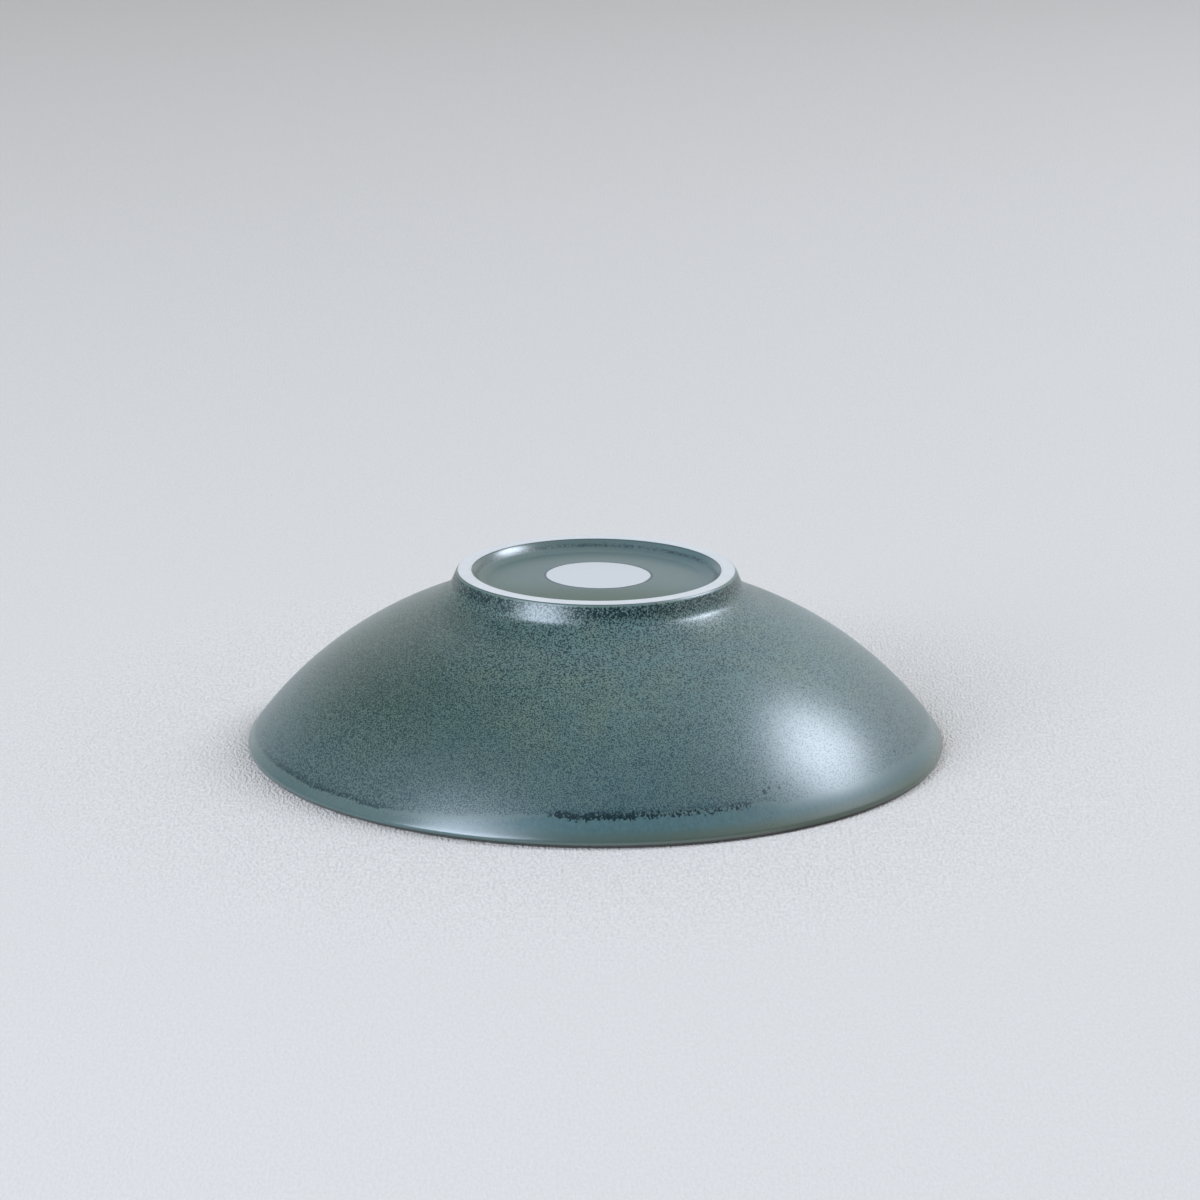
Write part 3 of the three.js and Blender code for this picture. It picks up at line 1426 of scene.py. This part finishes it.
    def _line(self, finish: Finish) -> Socket:
        """The broken dark line where the glaze pooled over the rim band.

        Args:
            finish: The material.

        Returns:
            How dark it is.
        """
        wiring = finish.wiring
        strength = self._along_rim(finish, 0.0, self.strength_steps)
        near = wiring.rise(wiring.math("ABSOLUTE", self._above_line(finish)), self.line_half, 0.0)
        near = wiring.product(near, strength)
        level = wiring.math("MULTIPLY_ADD", near, self.patch_rise, self.patch_level)
        noise = wiring.noise(self._dripped(finish), self.patch_cell, Pattern.LINE_PATCHES)
        patch = wiring.below(noise, level, self.patch_edge)
        return wiring.product(patch, wiring.rise(strength, 0.0, self.strength_full, self.line_dark))

    def _spot(self, finish: Finish, spot: Spot) -> Socket:
        """One dark spot.

        Args:
            finish: The material.
            spot: The spot.

        Returns:
            How dark it is.
        """
        wiring = finish.wiring
        degree = self.line_radius * math.radians(1.0)
        across = wiring.product(wiring.math("SUBTRACT", finish.azimuth, spot.azimuth), degree)
        above = wiring.math("SUBTRACT", finish.height, spot.height)
        offset = wiring.add("ShaderNodeCombineXYZ", {0: across, 1: above}).outputs[0]
        core = spot.radius * self.spot_core
        return wiring.rise(wiring.length(offset), spot.radius, core, self.spot_dark)

    @once
    def _dark(self, finish: Finish) -> Socket:
        """The pooled line, the single spots and the flecks that crowd by the rim and on the foot.

        Args:
            finish: The material.

        Returns:
            How dark they are.
        """
        spots = [self._spot(finish, spot) for spot in self.spots]
        flecks = (self._rim_flecks(finish), self._foot_flecks(finish))
        return finish.wiring.most(self._line(finish), *spots, *flecks)

    def pooled(self, finish: Finish) -> Feed:
        """The dark glaze, and the rim band where it is matt."""
        matt = finish.wiring.product(self._band(finish), self._matt(finish))
        return finish.wiring.most(matt, self._dark(finish))

    def polished(self, finish: Finish) -> Feed:
        """The rim band where it isn't matt."""
        return finish.wiring.product(self._band(finish), finish.wiring.rest(self._matt(finish)))

    def _band_colour(self, finish: Finish) -> Socket:
        """The smooth rim band, with teal streaks and a fine mist of lighter and darker marks.

        Args:
            finish: The material.

        Returns:
            The band's colour.
        """
        wiring = finish.wiring
        streak = wiring.noise(self._rim_place(finish), self.streak_cell, Pattern.BAND_STREAKS)
        streak = wiring.spread(streak, 1.0, self.streak_spread)
        teal = wiring.product(self._along_rim(finish, 0.0, self.teal_steps), streak)
        colour = wiring.mix(teal, self.band, self.teal)
        mist = wiring.noise(self._dripped(finish), self.mist_cell, Pattern.BAND_MIST)
        mist = wiring.math("DIVIDE", mist, NOISE_MIDDLE)
        return wiring.mix(self.mist_share, colour, mist, "MULTIPLY")

    def _lip(self, finish: Finish, colour: Socket) -> Socket:
        """Adds the lip and its brown edge, which is partly painted shade where the lip meets the floor.

        Args:
            finish: The material.
            colour: The coat's colour so far.

        Returns:
            The colour with its lip.
        """
        wiring = finish.wiring
        warm = wiring.rise(finish.across, self.lip_cool_end, self.lip_olive_end)
        lip = wiring.mix(warm, self.lip_cool, self.lip_olive)
        low = wiring.rise(finish.height, self.lip_high, self.lip_low)
        share = wiring.product(low, self._along_rim(finish, self.lip_back, self.lip_steps))
        # painted shade in part: the bottom of the lip is darkened where it meets the floor
        edge = wiring.rise(finish.height, self.lip_edge_high, self.lip_edge_low)
        return wiring.mix(edge, wiring.mix(share, colour, lip), self.brown)

    def tint(self, finish: Finish, colour: Socket) -> Socket:
        """Adds the rim band, the lip, the pooled line and dark flecks, and the edge by the bare face.

        Args:
            finish: The material.
            colour: The coat's colour so far.

        Returns:
            The colour with all of these.
        """
        wiring = finish.wiring
        colour = wiring.mix(self._band(finish), colour, self._band_colour(finish))
        colour = self._lip(finish, colour)
        return self.bare_edge(finish, wiring.mix(self._dark(finish), colour, self.pool))


# The disc's white lies a little off the axis, inside a dark edge
DISC_MIDDLE: Triple = (0.6 * MM, 0.7 * MM, 0.0)
DISC_EDGE: Colour = (0.026, 0.056, 0.082, 1.0)


@dataclass(frozen=True)
class WellGlaze(ReactiveGlaze):
    """The glaze in the well: nearly clear of flecks, dark where it pooled along the foot ring."""

    # Ground and surface that differ from the wall's
    cool: Colour = (0.102, 0.174, 0.178, 1.0)
    olive: Colour = (0.130, 0.182, 0.164, 1.0)
    fleck_cover: float = 0.30
    roughness: float = 0.36
    sheen: float = 0.0

    # Glossier flank of the foot ring
    gloss_low: float = 49.2 * MM
    gloss_high: float = 50.0 * MM
    gloss: float = 1.5

    # Dark flecks half way down the flank
    pool_height: float = 49.4 * MM
    pool_half: float = 0.7 * MM
    pool_start: float = 30.0 * MM
    pool_full: float = 32.0 * MM
    pool_cell: float = 0.5 * MM
    pool_edge: float = 0.08
    pool_dark: float = 0.8
    patch_cell: float = 6.0 * MM
    patch_spread: float = 0.4

    # Painted shade on the floor towards the front, in the dark olive-green of the thick glaze
    front_start: float = -4.0 * MM
    front_end: float = -26.0 * MM
    front_shade: float = 0.95

    # Dark edge round the disc
    disc_edge_radius: float = 15.3 * MM
    disc_edge_half: float = 0.5 * MM
    disc_edge_core: float = 0.15 * MM
    disc_edge_dark: float = 0.8

    @once
    def pooled(self, finish: Finish) -> Feed:
        """The dark flecks half way down the flank.

        Args:
            finish: The material.

        Returns:
            How dark they are.
        """
        wiring = finish.wiring
        apart = wiring.math("ABSOLUTE", wiring.math("SUBTRACT", finish.height, self.pool_height))
        near = wiring.rise(apart, self.pool_half, 0.0)
        outer = wiring.rise(finish.radius, self.pool_start, self.pool_full)
        patch = wiring.noise(finish.place, self.patch_cell, Pattern.WELL_PATCHES, detail=1.0)
        level = wiring.spread(patch, NOISE_MIDDLE, self.patch_spread)
        noise = wiring.noise(finish.place, self.pool_cell, Pattern.WELL_FLECKS)
        return wiring.product(near, outer, wiring.below(noise, level, self.pool_edge, self.pool_dark))

    def polished(self, finish: Finish) -> Feed:
        """The flank of the foot ring, which is glossier than the floor of the well."""
        return finish.wiring.rise(finish.height, self.gloss_low, self.gloss_high, self.gloss)

    def tint(self, finish: Finish, colour: Socket) -> Socket:
        """Adds the painted shade at the front, the line round the disc, the dark flecks and the edge by
        the bare face.

        Args:
            finish: The material.
            colour: The coat's colour so far.

        Returns:
            The colour with all of these.
        """
        wiring = finish.wiring
        # painted shade: the front of the well is darkened towards the thick glaze's colour
        front = wiring.rise(finish.along, self.front_start, self.front_end, self.front_shade)
        colour = wiring.mix(front, colour, self.thick_glaze_and_shade)
        apart = wiring.math("SUBTRACT", finish.distance_from(DISC_MIDDLE), self.disc_edge_radius)
        apart = wiring.math("ABSOLUTE", apart)
        edge = wiring.rise(apart, self.disc_edge_half, self.disc_edge_core, self.disc_edge_dark)
        colour = wiring.mix(edge, colour, DISC_EDGE)
        return self.bare_edge(finish, wiring.mix(self.pooled(finish), colour, self.pool))


@dataclass(frozen=True)
class BarePorcelain:
    """White fired porcelain, ground smooth and matt, with a faint grey grain."""

    name: str
    white: Colour = (0.785, 0.777, 0.752, 1.0)
    grey: Colour = (0.68, 0.68, 0.67, 1.0)
    grey_start: float = 0.62
    grey_full: float = 0.36
    grey_share: float = 0.5
    roughness: float = 0.55
    roughness_spread: float = 0.12
    ior: float = 1.5
    cloud_cell: float = 5.0 * MM
    cloud_detail: float = 3.0
    grain_cell: float = 0.25 * MM
    grain_share: float = 0.4
    grain_height: float = 0.004 * MM

    def make(self) -> bpy.types.Material:
        """Builds the material.

        Returns:
            The material.
        """
        finish = Finish(self.name)
        wiring = finish.wiring
        cloud = wiring.noise(finish.place, self.cloud_cell, Pattern.PORCELAIN_CLOUDS, self.cloud_detail)
        grain = wiring.noise(finish.place, self.grain_cell, Pattern.PORCELAIN_GRAIN, detail=1.0)
        both = wiring.between(self.grain_share, cloud, grain)
        grey = wiring.rise(both, self.grey_start, self.grey_full, self.grey_share)
        finish.set("Base Color", wiring.mix(grey, self.white, self.grey))
        finish.set("Roughness", wiring.spread(grain, self.roughness, self.roughness_spread))
        finish.set("IOR", self.ior)
        finish.bump(grain, self.grain_height)
        return finish.material


@dataclass(frozen=True)
class DiscWhite:
    """White of the disc under clear glaze, with a soft blue-grey edge where the glaze runs over it."""

    name: str
    white: Colour = (0.70, 0.71, 0.70, 1.0)
    glaze: Colour = (0.105, 0.160, 0.162, 1.0)
    white_radius: float = 14.75 * MM
    edge_radius: float = 15.15 * MM
    glaze_start: float = 15.4 * MM
    glaze_radius: float = 15.8 * MM
    wander: float = 0.6 * MM
    roughness: float = 0.25
    roughness_spread: float = 0.1
    ior: float = 1.5
    cloud_cell: float = 4.0 * MM

    def make(self) -> bpy.types.Material:
        """Builds the material.

        Returns:
            The material.
        """
        finish = Finish(self.name)
        wiring = finish.wiring
        cloud = wiring.noise(finish.place, self.cloud_cell, Pattern.DISC_CLOUDS)
        wander = wiring.spread(cloud, 0.0, self.wander)
        reach = wiring.math("ADD", finish.distance_from(DISC_MIDDLE), wander)
        edge = wiring.rise(reach, self.white_radius, self.edge_radius)
        colour = wiring.mix(edge, self.white, DISC_EDGE)
        glazed = wiring.rise(reach, self.glaze_start, self.glaze_radius)
        finish.set("Base Color", wiring.mix(glazed, colour, self.glaze))
        finish.set("Roughness", wiring.spread(cloud, self.roughness, self.roughness_spread))
        finish.set("IOR", self.ior)
        return finish.material


@dataclass(frozen=True)
class FloorPaint:
    """Pale matt floor with a fine pebbled skin that grows smoother away from the plate; near the plate its
    pebbles carry painted light on their crests and painted shade in their hollows, and the whole floor
    glows faintly as painted light.
    """

    name: str = "pale_floor"
    pale: Colour = (0.752, 0.712, 0.667, 1.0)
    # Painted shade in the pebbles' hollows and painted light on their crests
    hollow: Colour = (0.731, 0.691, 0.646, 1.0)
    crest: Colour = (0.889, 0.844, 0.794, 1.0)
    roughness: float = 0.9
    shine: float = 0.1
    # Painted light: a faint glow in the floor's own colour, lifting its shadows
    glow: float = 0.045
    pebble_cell: float = 0.8 * MM
    pebble_height: float = 1.05 * MM
    pebble_stretch: Triple = (1.0, 0.4, 1.0)
    hollow_level: float = 0.3
    crest_level: float = 0.7
    rough_reach: float = 115.0 * MM
    smooth_reach: float = 210.0 * MM
    far_smoothing: float = 0.75

    def make(self) -> bpy.types.Material:
        """Builds the material.

        Returns:
            The material.
        """
        finish = Finish(self.name)
        wiring = finish.wiring
        pebbles = wiring.noise(finish.stretched(self.pebble_stretch), self.pebble_cell, Pattern.PEBBLES)
        rough = wiring.rest(wiring.rise(finish.radius, self.rough_reach, self.smooth_reach, self.far_smoothing))
        # painted light and shade: pebble crests lighter and hollows darker, most of all near the plate
        crest = wiring.rise(pebbles, self.hollow_level, self.crest_level)
        grain = wiring.mix(crest, self.hollow, self.crest)
        finish.set("Base Color", wiring.mix(rough, self.pale, grain))
        finish.set("Roughness", self.roughness)
        finish.set("Specular IOR Level", self.shine)
        # painted light: the floor glows faintly, lifting its shadows and the crevice under the rim
        finish.set("Emission Color", self.pale)
        finish.set("Emission Strength", self.glow)
        finish.bump(wiring.product(pebbles, rough), self.pebble_height)
        return finish.material


# The plate's pieces


def ring(*stretches: Line) -> Line:
    """Joins stretches of a profile into one line that ends where it starts."""
    line = [point for stretch in stretches for point in stretch]
    return line + line[:1]


@dataclass
class Assembly:
    """Pieces that are turned from the plate's profile on one lathe."""

    profile: PlateProfile
    lathe: Lathe

    def add(self, name: str, line: Line, material: bpy.types.Material, node: str, slot: str) -> None:
        """Turns a piece, makes it stand for its node, and reports it.

        Args:
            name: The piece's name.
            line: Its profile.
            material: Its finish.
            node: The node that it replaces.
            slot: The record's material slot; not used.
        """
        piece = self.lathe.turn(name, line, material)
        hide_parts(node)
        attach(piece, BODY)
        log.info("%s: %d faces, stands for %s", piece.name, len(piece.data.polygons), node)


@dataclass
class PorcelainBody(Assembly):
    """The fired white body: the bowl and the foot ring on it."""

    def bowl_line(self) -> Line:
        """The bowl under its glaze, from the middle of the floor round the lip to the middle of the base.

        Returns:
            The profile's points.
        """
        plate = self.profile
        return (
            plate.floor_line(plate.glaze, plate.hidden)
            + plate.lip_line(plate.glaze, plate.hidden)[1:]
            + plate.wall_line(plate.glaze, plate.hidden, plate.foot_hollow.end_tilt)[1:]
            + plate.foot_hollow.line(plate.shown, plate.glaze)[-2::-1]
            + plate.well_line(plate.glaze, plate.hidden, plate.seat_inner_tilt)
            + plate.disc_line(plate.glaze, plate.hidden)[1:]
        )

    def foot_line(self) -> Line:
        """The foot ring's section, with its eased edges.

        Returns:
            The profile's points.
        """
        plate = self.profile
        outer = plate.foot_outer.edge.sweep(tilt_of(plate.foot_outer.normal), 0.0, plate.fine / 2)
        inner = plate.foot_inner.edge.sweep(0.0, tilt_of(plate.foot_inner.normal), plate.fine / 2)
        bare = [ProfilePoint(point.place) for point in outer + inner]
        return ring([ProfilePoint(plate.seat_inner), ProfilePoint(plate.seat_outer)], bare)

    def build(self) -> None:
        """Makes both pieces."""
        body = BarePorcelain("body_porcelain").make()
        foot = BarePorcelain("foot_porcelain").make()
        self.add("body", self.bowl_line(), body, "bowl_shell", "porcelain")
        self.add("foot", self.foot_line(), foot, "foot_ring", "foot_porcelain")


@dataclass
class GlazeCoats(Assembly):
    """The four glaze coats on the porcelain."""

    def face_line(self) -> Line:
        """The coat inside the bowl.

        Returns:
            The profile's points.
        """
        plate = self.profile
        under = plate.floor_line(plate.glaze, plate.hidden)
        return plate.floor_line(0.0, 2 * plate.shown) + under[::-1]

    def rim_line(self) -> Line:
        """The coat round the lip."""
        plate = self.profile
        return ring(plate.lip_line(0.0, plate.shown), plate.lip_line(plate.glaze, plate.hidden)[::-1])

    def back_line(self) -> Line:
        """The coat on the outside of the wall and up the foot ring's outer flank.

        Returns:
            The profile's points.
        """
        plate = self.profile
        hollow = plate.foot_hollow
        wall = plate.wall_line(0.0, plate.shown, hollow.end_tilt)
        flank = plate.flank_coat(plate.foot_outer, hollow)
        wall_under = plate.wall_line(plate.glaze, plate.hidden, hollow.end_tilt)
        hollow_under = hollow.line(plate.shown, plate.glaze)[-2::-1]
        return ring(wall, flank[-2::-1], (wall_under + hollow_under)[::-1])

    def well_line(self) -> Line:
        """The coat down the foot ring's inner flank and in to the disc.

        Returns:
            The profile's points.
        """
        plate = self.profile
        hollow = plate.well_hollow
        flank = plate.flank_coat(plate.foot_inner, hollow)
        under = plate.well_line(plate.glaze, plate.hidden, plate.seat_inner_tilt)
        return ring(flank, plate.well_line(0.0, plate.shown, hollow.end_tilt)[1:], under[::-1])

    def build(self) -> None:
        """Makes the four coats."""
        coats = (
            ("face_coat", self.face_line(), ReactiveGlaze("face_glaze"), "face_glaze"),
            ("rim_coat", self.rim_line(), WallGlaze("rim_glaze"), "rim_glaze"),
            ("back_coat", self.back_line(), WallGlaze("back_glaze"), "back_glaze"),
            ("well_coat", self.well_line(), WellGlaze("well_glaze"), "well_glaze"),
        )
        for name, line, glaze, node in coats:
            self.add(name, line, glaze.make(), node, node)


@dataclass
class BaseDisc(Assembly):
    """The plain white disc in the window of the well's glaze."""

    def build(self) -> None:
        """Makes the disc."""
        plate = self.profile
        line = ring(plate.disc_line(0.0, plate.shown), plate.disc_line(plate.glaze, plate.hidden)[::-1])
        self.add("disc", line, DiscWhite("disc_white").make(), "base_disc", "disc_white")


# Studio


def way_to(azimuth: float, elevation: float) -> Vector:
    """The unit direction at an azimuth from the front and an elevation, both in degrees."""
    around, up = math.radians(azimuth), math.radians(elevation)
    return Vector((math.sin(around) * math.cos(up), -math.cos(around) * math.cos(up), math.sin(up)))


@dataclass(frozen=True)
class Glow:
    """A part of the surround that is brighter than the rest, or darker where its strength is below nil."""

    azimuth: float
    elevation: float
    reach: float
    strength: float

    @property
    def way(self) -> Vector:
        """The direction of its middle."""
        return way_to(self.azimuth, self.elevation)


@dataclass(frozen=True)
class Softbox:
    """A large soft light, aimed at the plate."""

    name: str
    azimuth: float
    elevation: float
    width: float
    height: float
    watts: float
    colour: Triple
    distance: float = 3.0

    def build(self) -> None:
        """Hangs the light."""
        way = way_to(self.azimuth, self.elevation)
        lamp = bpy.data.lights.new(self.name, "AREA")
        lamp.shape = "RECTANGLE"
        lamp.size = self.width
        lamp.size_y = self.height
        lamp.energy = self.watts
        lamp.color = self.colour
        hung = bpy.data.objects.new(self.name, lamp)
        hung.location = way * self.distance
        hung.rotation_mode = "QUATERNION"
        hung.rotation_quaternion = (-way).to_track_quat("-Z", "Y")
        bpy.context.scene.collection.objects.link(hung)


@dataclass(frozen=True)
class PhotoCamera:
    """The camera that took the photograph, found from the plate's outline in a square image."""

    image_px: float = 1200.0
    focal_px: float = 3996.0
    middle_px: tuple[float, float] = (596.3, 666.6)
    distance: float = 1.150
    elevation: float = math.radians(15.87)
    look_height: float = 22.0 * MM
    roll: float = math.radians(0.26)
    sensor: float = 36.0

    def build(self) -> None:
        """Sets up the camera, with the looked-at point of the axis at its place in the image."""
        rise, run = math.sin(self.elevation), math.cos(self.elevation)
        ahead, up, right = Vector((0, run, -rise)), Vector((0, rise, run)), Vector((1, 0, 0))
        across = self.middle_px[0] - self.image_px / 2
        down = self.middle_px[1] - self.image_px / 2
        pitch = math.atan(down / self.focal_px)
        yaw = math.atan(across / math.hypot(self.focal_px, down))
        level = ahead * math.cos(pitch) + up * math.sin(pitch)
        aim = level * math.cos(yaw) - right * math.sin(yaw)
        lens = bpy.data.cameras.new("photo_camera")
        lens.sensor_width = self.sensor
        lens.lens = self.focal_px / self.image_px * self.sensor
        camera = bpy.data.objects.new("photo_camera", lens)
        camera.location = Vector((0, 0, self.look_height)) - ahead * self.distance
        camera.rotation_mode = "QUATERNION"
        rolled = Quaternion((0.0, 0.0, 1.0), self.roll)
        camera.rotation_quaternion = aim.to_track_quat("-Z", "Y") @ rolled
        bpy.context.scene.collection.objects.link(camera)
        bpy.context.scene.camera = camera


@dataclass
class Studio:
    """Pale floor, two softboxes, a surround that glows behind the plate, and the camera."""

    floor_size: float = 14.0
    surround: Colour = (0.92, 0.97, 1.0, 1.0)
    surround_strength: float = 0.18
    glows: tuple[Glow, ...] = (
        Glow(azimuth=178.0, elevation=3.0, reach=68.0, strength=0.52),
        Glow(azimuth=112.0, elevation=35.0, reach=60.0, strength=0.36),
        Glow(azimuth=-98.0, elevation=34.0, reach=26.0, strength=0.28),
        Glow(azimuth=8.0, elevation=24.0, reach=50.0, strength=-0.10),
    )
    camera: PhotoCamera = field(default_factory=PhotoCamera)
    lights: tuple[Softbox, ...] = (
        Softbox(
            name="key_light",
            azimuth=109.0,
            elevation=40.2,
            width=1.24,
            height=1.0,
            watts=47.5,
            colour=(0.775, 0.85, 0.985),
        ),
        Softbox(
            name="fill_light",
            azimuth=-46.5,
            elevation=29.5,
            width=1.55,
            height=2.0,
            watts=83.0,
            colour=(0.735, 0.83, 1.0),
        ),
    )

    def _floor(self) -> None:
        """Lays the floor."""
        reach = self.floor_size / 2
        around = ((-reach, -reach), (reach, -reach), (reach, reach), (-reach, reach))
        corners = [(x, y, 0.0) for x, y in around]
        mesh = bpy.data.meshes.new("floor")
        mesh.from_pydata(corners, [], [(0, 1, 2, 3)])
        mesh.materials.append(FloorPaint().make())
        floor = bpy.data.objects.new("floor", mesh)
        bpy.context.scene.collection.objects.link(floor)

    def _surround(self) -> None:
        """Lights the scene from all round, more strongly where the surround glows."""
        world = bpy.data.worlds.new("studio")
        world.use_nodes = True
        wiring = Wiring(world.node_tree)
        way = wiring.add("ShaderNodeTexCoord").outputs["Generated"]
        strength: Feed = self.surround_strength
        for glow in self.glows:
            along = wiring.vector("DOT_PRODUCT", {0: way, 1: glow.way}).outputs["Value"]
            edge = math.cos(math.radians(glow.reach))
            strength = wiring.math("ADD", strength, wiring.rise(along, edge, 1.0, glow.strength))
        background = world.node_tree.nodes["Background"]
        wiring.feed(background.inputs["Color"], self.surround)
        wiring.feed(background.inputs["Strength"], strength)
        bpy.context.scene.world = world
        bpy.context.scene.view_settings.view_transform = "Standard"

    def build(self) -> None:
        """Sets up the studio."""
        self._floor()
        self._surround()
        for light in self.lights:
            light.build()
        self.camera.build()
        log.info("studio: floor, %d softboxes and the camera", len(self.lights))


def main() -> None:
    """Builds the plate and its studio."""
    logging.basicConfig(level=logging.INFO, format="%(name)s %(message)s")
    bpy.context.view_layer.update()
    profile = PlateProfile()
    lathe = Lathe()
    for assembly in (PorcelainBody, GlazeCoats, BaseDisc):
        assembly(profile, lathe).build()
    Studio().build()


if __name__ == "__main__":
    main()
